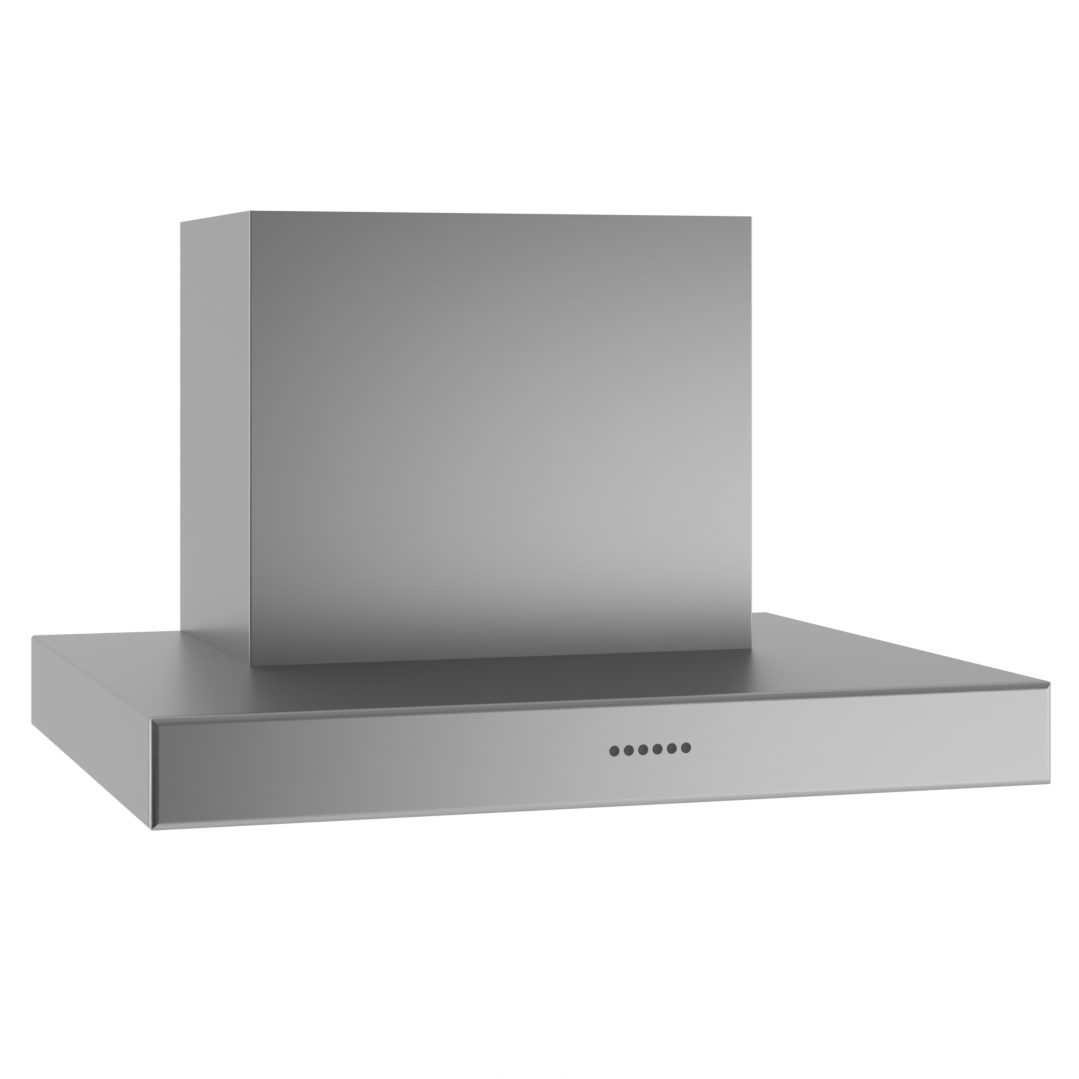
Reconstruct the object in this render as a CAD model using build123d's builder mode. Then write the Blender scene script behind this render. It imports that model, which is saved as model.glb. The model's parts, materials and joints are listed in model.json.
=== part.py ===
from build123d import *
import os
from math import cos, floor, radians, sin

# Wall-hung outdoor range hood: a low box canopy under a three-sided duct cover. Inside are baffle
# filters, lights, push buttons, a double-inlet blower and a backdraft damper.
# Millimetres. X runs across the hood, Y towards the wall (wall face at Y = 0), Z up from the bottom rim.

# Canopy sizes
canopy_width = 914.0
canopy_depth = 760.0
canopy_height = 104.0
outer_sheet = 1.2
outline_radius = 4.0  # corners of the canopy seen from the front
fascia_bend = 8.0  # outer radius of the bends round the front panel
fascia_land = 0.8  # straight stretch after each of those bends
rim_width = 24.0  # return flange round the bottom opening
seam_gap = 0.4
front_seam = 0.8  # gap between the front panel and the shell
joggle_length = 14.0  # stepped flange of the front panel that slips under the shell
joggle_clearance = 0.1

# Duct cover sizes
duct_cover_width = 567.0
duct_cover_depth = 382.0
duct_cover_height = 478.0
duct_cover_bend = 2.2
duct_cover_flange = 15.0

# Wall fastening sizes
back_tab_width = 500.0
back_tab_rise = 226.0  # above the canopy top
wall_bolt_spacing_x = 406.4
wall_bolt_spacing_z = 110.0
wall_bolt_rise = 136.0  # centre of the bolt pattern above the canopy top
wall_bolt_hole_radius = 4.5
bracket_sheet = 2.0
bracket_height = 30.0
bracket_drop = 30.0  # below the top of the duct cover
bracket_bolt_spacing = 300.0
bracket_bolt_hole_radius = 3.0
bracket_step = 5.0

# Liner and filter bank sizes
liner_sheet = 1.0
liner_flange = 12.0
liner_bend = 2.5
skirt_joint = 0.2  # gap at the skirt's welded corners
deck_height = 44.0  # underside of the liner deck above the bottom rim
light_strip = 180.0
rear_strip = 85.0
side_strip = 11.0
filter_names = ("left", "centre", "right")
filter_sheet = 1.0
filter_thickness = 22.0
filter_lip = 12.0
filter_corner_radius = 1.5
filter_gap = 10.0
filter_side_gap = 5.0
filter_front_gap = 2.0
filter_back_gap = 9.0
pin_radius = 2.5
pin_reach = 4.0
pin_inset = 7.0
pin_clearance = 0.05
hanger_sheet = 2.0
hanger_gap = 1.5
hanger_foot_width = 12.0
hanger_foot_length = 28.0
hanger_margin = 6.5  # metal left round each pin
baffle_sheet = 0.8
baffle_width = 22.0
baffle_pitch = 30.0
baffle_lip = 11.0
baffle_bend = 2.4
baffle_end_gap = 0.2
clip_sheet = 0.6
clip_width = 14.0
clip_spacing = 170.0
clip_reach = 6.0
clip_tip = 4.0
clip_seat = 24.0
clip_rivet_radius = 3.0
clip_rivet_height = 1.2

# Filter handle sizes
bail_radius = 2.0
bail_bend = 7.0
bail_width = 66.0
bail_drop = 28.0
bail_clearance = 0.1
lug_sheet = 2.0
lug_radius = 5.0
lug_drop = 6.0
lug_inset = 16.0
lug_gap = 4.0  # from the bail's leg to its lug

# Grease gutter sizes
gutter_width = 46.0
gutter_drop = 15.0
gutter_sheet = 1.0
gutter_bend = 5.0
gutter_side_gap = 30.0
gutter_front_gap = 10.0

# Light sizes
light_sides = {"left": -1, "right": 1}
light_inset = 163.0  # from the rim's inner edge to the middle of a light
light_hole_radius = 34.0
light_bezel_radius = 42.0
light_window_radius = 28.0
light_bezel_height = 2.5
light_bezel_fillet = 1.2
light_neck_wall = 2.0
light_neck_height = 8.0
light_clearance = 0.3
light_lens_height = 2.5
light_board_height = 1.6
light_board_margin = 1.5
light_housing_wall = 4.0
light_housing_height = 30.0
light_fin_count = 6
light_fin_slot = 4.0
light_fin_depth = 12.0

# Control sizes
button_count = 6
button_pitch = 14.6
button_group_x = 27.1
button_height = 54.4
button_hole_radius = 5.2
button_gap = 0.25
button_proud = 0.5
button_edge = 0.6
button_dish_radius = 3.6
button_dish_depth = 0.35
button_cap_length = 3.2
button_stem_radius = 2.5
button_collar_radius = 3.5
button_collar_length = 1.0
button_travel = 2.0
button_slack = 0.2
button_stem_tail = 1.8
control_margin_x = 15.0
control_half_height = 17.0
control_depth = 18.0
control_wall = 1.8
control_post = 5.0
control_boss_radius = 4.0
board_thickness = 1.6
board_clearance = 0.2
switch_side = 6.0
switch_body = 3.0
switch_plunger_radius = 1.7
switch_plunger = 1.2

# Blower and damper sizes
blower_sheet = 1.0
blower_gasket_height = 3.0
blower_box_width = 330.0
blower_flange = 15.0
blower_wall_gap = 38.0
blower_front_gap = 19.8  # from the blower's flange to the duct cover's foot flange
inlet_lip = 10.0
collar_radius = 100.0
collar_sheet = 1.2
collar_height = 50.0
collar_margin = 8.0
wheel_width = 120.0
wheel_disc = 2.0
wheel_ring = 4.0
wheel_ring_height = 3.0
wheel_hub_radius = 16.0
wheel_hub_length = 30.0
blade_count = 40
blade_depth = 16.0
blade_sheet = 1.0
blade_sweep = 9.0  # degrees from a blade's inner edge to its outer edge
scroll_step = 14.0
scroll_tip_gap = 12.0
scroll_width = 140.0
scroll_floor_gap = 25.0
scroll_front_gap = 8.0
throat_height = 46.0
inlet_overlap = 1.0  # how far each inlet clears the blades' inner edge
shaft_radius = 6.35
shaft_clearance = 0.05
shaft_tail = 8.0
motor_radius = 46.0
motor_length = 92.0
motor_fillet = 6.0
motor_gap = 10.0
bracket_ring_sheet = 4.0
bracket_ring_width = 12.0
bracket_arm_width = 16.0
bracket_arm_sheet = 3.0
bracket_arm_count = 3
bracket_post_radius = 5.0
bracket_post_inset = 14.0
damper_rise = 24.0  # spindle above the collar's flange
spindle_radius = 3.0
spindle_clearance = 0.05
flap_sheet = 0.8
flap_edge_gap = 1.3
flap_hinge_gap = 5.0
knuckle_wall = 1.2
knuckle_length = 30.0
front_knuckles = (-65.0, 25.0)
rear_knuckles = (-25.0, 65.0)
seal_width = 7.0
seal_height = 3.0
seal_notch = 5.0

# Electrical sizes
side_gear_gap = 8.0  # from the blower's flange to the pieces beside it
junction_width = 46.0
junction_depth = 100.0
junction_height = 62.0
junction_sheet = 1.2
junction_setback = 31.0  # behind the blower box's front
supply_inlet_radius = 11.0
supply_inlet_offset = 20.0
driver_width = 46.0
driver_depth = 120.0
driver_height = 28.0
driver_ear = 12.0
driver_ear_sheet = 2.0
driver_setback = 1.0  # behind the blower box's front
driver_fillet = 2.0
capacitor_radius = 20.0
capacitor_height = 70.0
capacitor_fillet = 2.0
strap_gap = 32.8  # from the lamp driver's ear to the strap's foot
strap_sheet = 1.2
strap_width = 12.0
strap_rise = 18.0
strap_foot = 14.0
cable_radius = 3.5
cable_clearance = 0.05
cable_drop = 0.5  # straight stretch of the cable under its grommet
cable_turn_front = 200.0
cable_turn_lead = 60.0  # from the cable's last turn to its grommet
cable_rise_radius = 13.5
cable_sweep_radius = 60.0
cable_entry_depth = 5.0
cable_entry_rise = 14.0
cable_entry_offset = -20.0
clip_saddle_wall = 1.5
clip_saddle_width = 10.0
clip_base_width = 20.0
grommet_wall = 3.5
grommet_flange = 2.5
grommet_flange_height = 1.5

# Screw sizes
screw_radius = 1.9
screw_hole_radius = 2.1
screw_head_radius = 3.8
screw_head_height = 2.4
screw_head_fillet = 1.2
screw_tip = 6.0
recess_width = 1.0
recess_length = 4.0
recess_depth = 1.2
flange_screw_inset = 7.5

# Canopy places
half_width = canopy_width / 2
front_y = -canopy_depth
back_y = -outer_sheet
fascia_back = front_y + fascia_bend + fascia_land
shell_front = fascia_back + front_seam
rim_half = half_width - rim_width
canopy_underside = canopy_height - outer_sheet

# Duct cover places
cover_half = duct_cover_width / 2
cover_front = -duct_cover_depth
cover_top = canopy_height + duct_cover_height
cover_inner_half = cover_half - outer_sheet
cover_rear_half = cover_inner_half - duct_cover_flange
bracket_middle = cover_top - bracket_drop - bracket_height / 2
bracket_screw_x = cover_inner_half - flange_screw_inset

# Liner and filter places
liner_front = front_y + rim_width
liner_back = -rim_width
liner_length = liner_back - liner_front
liner_middle = (liner_front + liner_back) / 2
deck_top = deck_height + liner_sheet
bank_front = liner_front + light_strip
bank_back = liner_back - rear_strip
bank_length = bank_back - bank_front
bank_half = rim_half - liner_sheet - side_strip
filter_count = len(filter_names)
filter_width = (2 * bank_half - 2 * filter_side_gap - (filter_count - 1) * filter_gap) / filter_count
filter_front = bank_front + filter_front_gap
filter_back = bank_back - filter_back_gap
filter_length = filter_back - filter_front
filter_middle = (filter_front + filter_back) / 2
filter_top = deck_height + filter_thickness
pin_y = filter_back - pin_inset
pin_z = deck_height + filter_thickness / 2
filter_centres = [(i - (filter_count - 1) / 2) * (filter_width + filter_gap) for i in range(filter_count)]
lug_y = filter_front + lug_inset
lug_z = deck_height - lug_drop
lug_x = bail_width / 2 + lug_gap
light_y = liner_front + light_strip / 2
light_spacing = 2 * (rim_half - light_inset)

# Control places
fascia_inside = front_y + outer_sheet
cap_back = front_y - button_proud + button_cap_length
control_front = cap_back + button_travel + button_slack
control_inside = control_front + control_wall
control_back = control_front + control_depth
collar_front = control_inside + button_slack
stem_back = collar_front + button_collar_length + button_stem_tail
plunger_front = stem_back + button_travel + button_slack
board_front = plunger_front + switch_plunger + switch_body
control_half_width = (button_count - 1) * button_pitch / 2 + control_margin_x
control_top = button_height + control_half_height
button_xs = [button_group_x + (i - (button_count - 1) / 2) * button_pitch for i in range(button_count)]

# Blower places
box_half = blower_box_width / 2
box_back = -blower_wall_gap
box_bottom = canopy_height + blower_gasket_height
box_front = cover_front + outer_sheet + duct_cover_flange + blower_front_gap + blower_flange
collar_y = box_back - collar_radius - collar_margin
scroll_r1 = (collar_y - box_front - scroll_front_gap) / 1.5 - scroll_step  # outlet centred under the collar
scroll_r2 = scroll_r1 + scroll_step
scroll_r3 = scroll_r2 + scroll_step
wheel_radius = scroll_r1 - scroll_tip_gap
inlet_radius = wheel_radius - blade_depth + inlet_overlap
axis_y = collar_y - scroll_r3 / 2
axis_z = box_bottom + scroll_floor_gap + scroll_step / 2 + scroll_r2
box_depth = box_back - box_front
box_middle = (box_front + box_back) / 2
box_top = axis_z - scroll_step / 2 + scroll_r1 + throat_height
scroll_top = box_top - blower_sheet
scroll_half = scroll_width / 2
throat_front = axis_y - scroll_step / 2
throat_back = axis_y + scroll_step / 2 + scroll_r3
collar_inner = collar_radius - collar_sheet
collar_seat = box_top + collar_sheet
damper_z = collar_seat + damper_rise
flap_radius = collar_inner - flap_edge_gap
motor_end = -motor_gap - motor_length

# Electrical places
side_gear_x = box_half + blower_flange + side_gear_gap
junction_middle = box_front + junction_setback + junction_depth / 2
junction_x = side_gear_x + junction_width / 2
junction_top = canopy_height + junction_height
supply_inlet_y = junction_middle + supply_inlet_offset
cable_entry_y = junction_middle + cable_entry_offset
driver_x = -side_gear_x - driver_width / 2
driver_middle = box_front + driver_setback + driver_depth / 2
capacitor_x = -side_gear_x - capacitor_radius - strap_sheet
strap_foot_y = driver_middle + driver_depth / 2 + driver_ear + strap_gap + strap_foot / 2
capacitor_y = strap_foot_y + strap_foot / 2 + strap_sheet + capacitor_radius
cable_z = canopy_underside - grommet_flange_height - cable_drop - cable_rise_radius
grommet_radius = cable_radius + cable_clearance + grommet_wall

# Screw places, as points on the face that each screw's head sits on
box_screw_x = box_half + flange_screw_inset
box_screw_points = [(side * box_screw_x, y) for side in (-1, 1) for y in (box_front, box_middle, box_back)]
box_screw_points += [(0, box_front - flange_screw_inset), (0, box_back + flange_screw_inset)]
foot_screw_x = cover_inner_half - flange_screw_inset
foot_screw_points = [(side * foot_screw_x, y) for side in (-1, 1) for y in (box_front, box_back)]
foot_screw_points += [(side * box_half, cover_front + outer_sheet + flange_screw_inset) for side in (-1, 1)]
collar_screw_reach = collar_radius + collar_margin - flange_screw_inset
collar_screw_points = [
    (x, collar_y + y)
    for x in (-collar_screw_reach, collar_screw_reach)
    for y in (-collar_screw_reach, collar_screw_reach)
]
driver_ear_middle = (driver_depth + driver_ear) / 2
driver_screw_points = [(driver_x, driver_middle + side * driver_ear_middle) for side in (-1, 1)]
strap_screw_points = [(capacitor_x, strap_foot_y)]
cover_screw_rise = junction_height / 2
cover_screw_reach = junction_depth / 2 - flange_screw_inset


def facing_front(y):
    """Plane at depth y facing out of the hood's front: sketch x is X, sketch y is Z."""
    return Plane.XZ.offset(-y)


def save(piece, name):
    """Label a finished piece and write it as one STEP file."""
    piece.part.label = name
    export_step(piece.part, f"parts/{name}.step")


def fascia_form(inset):
    """Solid front panel form with rounded front edges, drawn in by inset at the front and all sides."""
    bend = fascia_bend - inset
    depth = fascia_back - front_y - inset
    middle_y = fascia_back - depth / 2
    width = canopy_width - 2 * inset
    height = canopy_height - 2 * inset
    with BuildPart() as form:
        with BuildSketch(Plane.XY.offset(inset)) as plan:
            with Locations((0, middle_y)):
                Rectangle(width, depth)
            fillet(plan.vertices().group_by(Axis.Y)[0], bend)
        extrude(amount=height)
        with BuildSketch(Plane.YZ.offset(-half_width)) as side:
            with Locations((middle_y, canopy_height / 2)):
                Rectangle(depth, height)
            fillet(side.vertices().group_by(Axis.X)[0], bend)
        extrude(amount=canopy_width, mode=Mode.INTERSECT)
        with BuildSketch(facing_front(fascia_back)):
            with Locations((0, canopy_height / 2)):
                RectangleRounded(width, height, outline_radius - inset)
        extrude(amount=fascia_back - front_y, mode=Mode.INTERSECT)
    return form.part


def pan_form(width, length, middle_y, low, high, corner, bend, inset):
    """Solid form of a shallow tray with round corners and one round-edged face, drawn in by inset."""
    with BuildPart() as form:
        with BuildSketch(Plane.XY.offset(low)):
            with Locations((0, middle_y)):
                RectangleRounded(width - 2 * inset, length - 2 * inset, corner - inset)
        extrude(amount=high - low)
        fillet(form.edges().group_by(Axis.Z)[-1 if high > low else 0], bend - inset)
    return form.part


def screws(seat, points, shank):
    """Pan-head screws with a cross recess, standing on a plane at the given points."""
    with BuildPart() as group:
        with BuildSketch(seat):
            with Locations(*points):
                Circle(screw_head_radius)
        extrude(amount=screw_head_height)
        fillet(group.edges().group_by(Axis((0, 0, 0), seat.z_dir))[-1], screw_head_fillet)
        with BuildSketch(seat.offset(screw_head_height)):
            with Locations(*points):
                Rectangle(recess_length, recess_width)
                Rectangle(recess_width, recess_length)
        extrude(amount=-recess_depth, mode=Mode.SUBTRACT)
        with BuildSketch(seat):
            with Locations(*points):
                Circle(screw_radius)
        extrude(amount=-shank)
    return group.part


os.makedirs("parts", exist_ok=True)

# Canopy shell: top and sides folded from one sheet, with bottom returns and the blower opening
with BuildPart() as canopy_shell:
    with BuildSketch(facing_front(back_y)):
        with Locations((0, canopy_height / 2)):
            RectangleRounded(canopy_width, canopy_height, outline_radius)
            RectangleRounded(
                canopy_width - 2 * outer_sheet,
                canopy_height - 2 * outer_sheet,
                outline_radius - outer_sheet,
                mode=Mode.SUBTRACT,
            )
        Rectangle(2 * rim_half, 4 * outer_sheet, mode=Mode.SUBTRACT)
    extrude(amount=back_y - shell_front)
    with BuildSketch(Plane.XY.offset(canopy_height)):
        with Locations((0, box_middle)):
            Rectangle(blower_box_width - 2 * inlet_lip, box_depth - 2 * inlet_lip)
        with Locations(*box_screw_points, *foot_screw_points, *driver_screw_points, *strap_screw_points):
            Circle(screw_hole_radius)
        with Locations((junction_x, cable_entry_y)):
            Circle(grommet_radius)
    extrude(amount=-2 * outer_sheet, mode=Mode.SUBTRACT)
save(canopy_shell, "canopy_shell")

# Front panel: a pan with rounded edges, stepped flanges under the shell and the front of the bottom rim
fascia_outside = fascia_form(0)
fascia_hollow = fascia_form(outer_sheet)
step_outer = outer_sheet + joggle_clearance
step_inner = step_outer + outer_sheet
step_foot = 4 * outer_sheet + liner_sheet
with BuildPart() as front_panel:
    add(fascia_outside)
    add(fascia_hollow, mode=Mode.SUBTRACT)
    for reach, length in ((outer_sheet / 2, outer_sheet), (step_outer, -joggle_length)):
        with BuildSketch(facing_front(fascia_back)):
            with Locations((0, canopy_height / 2)):
                RectangleRounded(
                    canopy_width - 2 * reach, canopy_height - 2 * reach, outline_radius - reach
                )
                RectangleRounded(
                    canopy_width - 2 * step_inner,
                    canopy_height - 2 * step_inner,
                    outline_radius - step_inner,
                    mode=Mode.SUBTRACT,
                )
            Rectangle(canopy_width, 2 * step_foot, mode=Mode.SUBTRACT)
        extrude(amount=length)
    with BuildSketch(Plane.XY):
        with Locations((0, (fascia_back - fascia_land + liner_front) / 2)):
            Rectangle(2 * (rim_half - seam_gap), liner_front - fascia_back + fascia_land)
    extrude(amount=outer_sheet)
    with BuildSketch(facing_front(front_y)):
        with Locations(*[(x, button_height) for x in button_xs]):
            Circle(button_hole_radius)
    extrude(amount=-2 * outer_sheet, mode=Mode.SUBTRACT)
save(front_panel, "front_panel")

# Back panel: closes the canopy and rises behind the duct cover as the plate that is bolted to the wall
back_tab_top = canopy_height + back_tab_rise
with BuildPart() as back_panel:
    with BuildSketch(facing_front(0)):
        with Locations((0, canopy_height / 2)):
            RectangleRounded(canopy_width, canopy_height, outline_radius)
        with Locations((0, (canopy_height / 2 + back_tab_top) / 2)):
            Rectangle(back_tab_width, back_tab_top - canopy_height / 2)
        with Locations((0, canopy_height + wall_bolt_rise)):
            with GridLocations(wall_bolt_spacing_x, wall_bolt_spacing_z, 2, 2):
                Circle(wall_bolt_hole_radius, mode=Mode.SUBTRACT)
    extrude(amount=outer_sheet)
    with BuildSketch(Plane.XY):
        with Locations((0, liner_back / 2)):
            Rectangle(2 * (rim_half - seam_gap), rim_width)
    extrude(amount=outer_sheet)
save(back_panel, "back_panel")

# Duct cover: front and sides folded from one sheet, with flanges at the wall and at the foot
with BuildPart() as duct_cover:
    with BuildSketch(Plane.XY.offset(canopy_height)) as cover_plan:
        with Locations((0, cover_front / 2)):
            Rectangle(duct_cover_width, duct_cover_depth)
        fillet(cover_plan.vertices().group_by(Axis.Y)[0], duct_cover_bend)
    extrude(amount=duct_cover_height)
    with BuildSketch(Plane.XY.offset(canopy_height)) as cover_hollow:
        with Locations((0, cover_front / 2)):
            Rectangle(2 * cover_inner_half, duct_cover_depth - 2 * outer_sheet)
        fillet(cover_hollow.vertices().group_by(Axis.Y)[0], duct_cover_bend - outer_sheet)
        with Locations((0, back_y)):
            Rectangle(2 * cover_rear_half, 4 * outer_sheet)
    extrude(amount=duct_cover_height, mode=Mode.SUBTRACT)
    with BuildSketch(Plane.XY.offset(canopy_height)):
        with Locations((0, (cover_front + outer_sheet / 2 + back_y) / 2)):
            Rectangle(2 * cover_inner_half + outer_sheet, back_y - cover_front - outer_sheet / 2)
        with Locations((0, (cover_front + outer_sheet + duct_cover_flange) / 2)):
            Rectangle(
                2 * cover_rear_half,
                -(cover_front + outer_sheet + duct_cover_flange),
                mode=Mode.SUBTRACT,
            )
        with Locations(*foot_screw_points):
            Circle(screw_hole_radius, mode=Mode.SUBTRACT)
    extrude(amount=outer_sheet)
    with BuildSketch(facing_front(back_y)):
        with Locations((-bracket_screw_x, bracket_middle), (bracket_screw_x, bracket_middle)):
            Circle(screw_hole_radius)
    extrude(amount=-outer_sheet, mode=Mode.SUBTRACT)
save(duct_cover, "duct_cover")

# Wall bracket at the top of the duct cover, with stepped ears in front of the cover's rear flanges
ear_back = back_y - joggle_clearance
ear_front = ear_back - bracket_sheet
bracket_half = cover_rear_half - seam_gap
ear_inner = bracket_half - bracket_step
ear_outer = cover_inner_half - seam_gap
with BuildPart() as duct_cover_bracket:
    with BuildSketch(Plane.XY.offset(bracket_middle - bracket_height / 2)):
        with Locations((0, -bracket_sheet / 2)):
            Rectangle(2 * bracket_half, bracket_sheet)
        for side in (-1, 1):
            with Locations((side * (ear_inner + bracket_half) / 2, ear_front / 2)):
                Rectangle(bracket_step, -ear_front)
            with Locations((side * (ear_inner + ear_outer) / 2, (ear_front + ear_back) / 2)):
                Rectangle(ear_outer - ear_inner, bracket_sheet)
    extrude(amount=bracket_height)
    with BuildSketch(facing_front(0)):
        with Locations((0, bracket_middle)):
            with GridLocations(bracket_bolt_spacing, 0, 2, 1):
                Circle(bracket_bolt_hole_radius)
            with GridLocations(2 * bracket_screw_x, 0, 2, 1):
                Circle(screw_hole_radius)
    extrude(amount=-2 * ear_front, both=True, mode=Mode.SUBTRACT)
save(duct_cover_bracket, "duct_cover_bracket")

# Liner skirt: four folded angle strips round the recess seen from below, butted at the corners
side_strip = liner_length - 2 * (liner_sheet + skirt_joint)
with BuildPart() as liner_skirt:
    for outward, length, middle in (
        (Vector(0, -1, 0), 2 * rim_half, Vector(0, liner_front, outer_sheet)),
        (Vector(0, 1, 0), 2 * rim_half, Vector(0, liner_back, outer_sheet)),
        (Vector(-1, 0, 0), side_strip, Vector(-rim_half, liner_middle, outer_sheet)),
        (Vector(1, 0, 0), side_strip, Vector(rim_half, liner_middle, outer_sheet)),
    ):
        along = outward.cross(Vector(0, 0, 1))
        with BuildSketch(Plane(middle - along * (length / 2), x_dir=outward, z_dir=along)) as section:
            with BuildLine():
                Polyline(
                    (-liner_sheet, 0),
                    (liner_flange, 0),
                    (liner_flange, liner_sheet),
                    (0, liner_sheet),
                    (0, deck_height - outer_sheet),
                    (-liner_sheet, deck_height - outer_sheet),
                    close=True,
                )
            make_face()
            corners = section.vertices()
            fillet(corners.sort_by_distance((-liner_sheet, 0))[0], liner_bend)
            fillet(section.vertices().sort_by_distance((0, liner_sheet))[0], liner_bend - liner_sheet)
        extrude(amount=length)
save(liner_skirt, "liner_skirt")

# Liner deck: the plate on the skirt, with the filter opening and two light holes
with BuildPart() as liner_deck:
    with BuildSketch(Plane.XY.offset(deck_height)):
        with Locations((0, liner_middle)):
            Rectangle(2 * rim_half, liner_length)
        with Locations((0, (bank_front + bank_back) / 2)):
            Rectangle(2 * bank_half, bank_length, mode=Mode.SUBTRACT)
        with Locations((0, light_y)):
            with GridLocations(light_spacing, 0, 2, 1):
                Circle(light_hole_radius, mode=Mode.SUBTRACT)
    extrude(amount=liner_sheet)
save(liner_deck, "liner_deck")

# Grease gutter under the deck behind the filters
gutter_front = bank_back + gutter_front_gap
gutter_half = rim_half - liner_sheet - gutter_side_gap
gutter_floor = deck_height - gutter_drop
gutter_shape = (2 * gutter_half, gutter_width, gutter_front + gutter_width / 2, deck_height)
gutter_outside = pan_form(*gutter_shape, gutter_floor, gutter_bend, gutter_bend - gutter_sheet / 2, 0)
gutter_hollow = pan_form(
    *gutter_shape, gutter_floor + gutter_sheet, gutter_bend, gutter_bend - gutter_sheet / 2, gutter_sheet
)
with BuildPart() as grease_gutter:
    add(gutter_outside)
    add(gutter_hollow, mode=Mode.SUBTRACT)
    with BuildSketch(Plane.XY.offset(deck_height)):
        with Locations((0, gutter_front)):
            Rectangle(2 * (gutter_half - gutter_bend), gutter_drop)
    extrude(amount=-gutter_sheet * 2, mode=Mode.SUBTRACT)
save(grease_gutter, "grease_gutter")

# Filter hangers: one plate beside each filter pin, cradling the pin in a slot that is open at the top
with BuildPart() as filter_hangers:
    for centre in filter_centres:
        for side in (-1, 1):
            inner_face = centre + side * (filter_width / 2 + hanger_gap)
            with BuildSketch(Plane.YZ.offset(inner_face)):
                plate_front = pin_y - hanger_margin
                plate_back = bank_back + hanger_foot_length
                with Locations(((plate_front + plate_back) / 2, (deck_top + pin_z + hanger_margin) / 2)):
                    Rectangle(plate_back - plate_front, pin_z + hanger_margin - deck_top)
                with Locations((pin_y, pin_z)):
                    Circle(pin_radius + pin_clearance, mode=Mode.SUBTRACT)
                with Locations((pin_y, pin_z + hanger_margin / 2)):
                    Rectangle(2 * (pin_radius + pin_clearance), hanger_margin, mode=Mode.SUBTRACT)
            extrude(amount=side * hanger_sheet)
            with BuildSketch(Plane.XY.offset(deck_top)):
                foot_x = inner_face + side * (hanger_sheet - hanger_foot_width / 2)
                with Locations((foot_x, bank_back + hanger_foot_length / 2 + hanger_sheet)):
                    Rectangle(hanger_foot_width, hanger_foot_length - 2 * hanger_sheet)
            extrude(amount=hanger_sheet)
save(filter_hangers, "filter_hangers")

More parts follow.
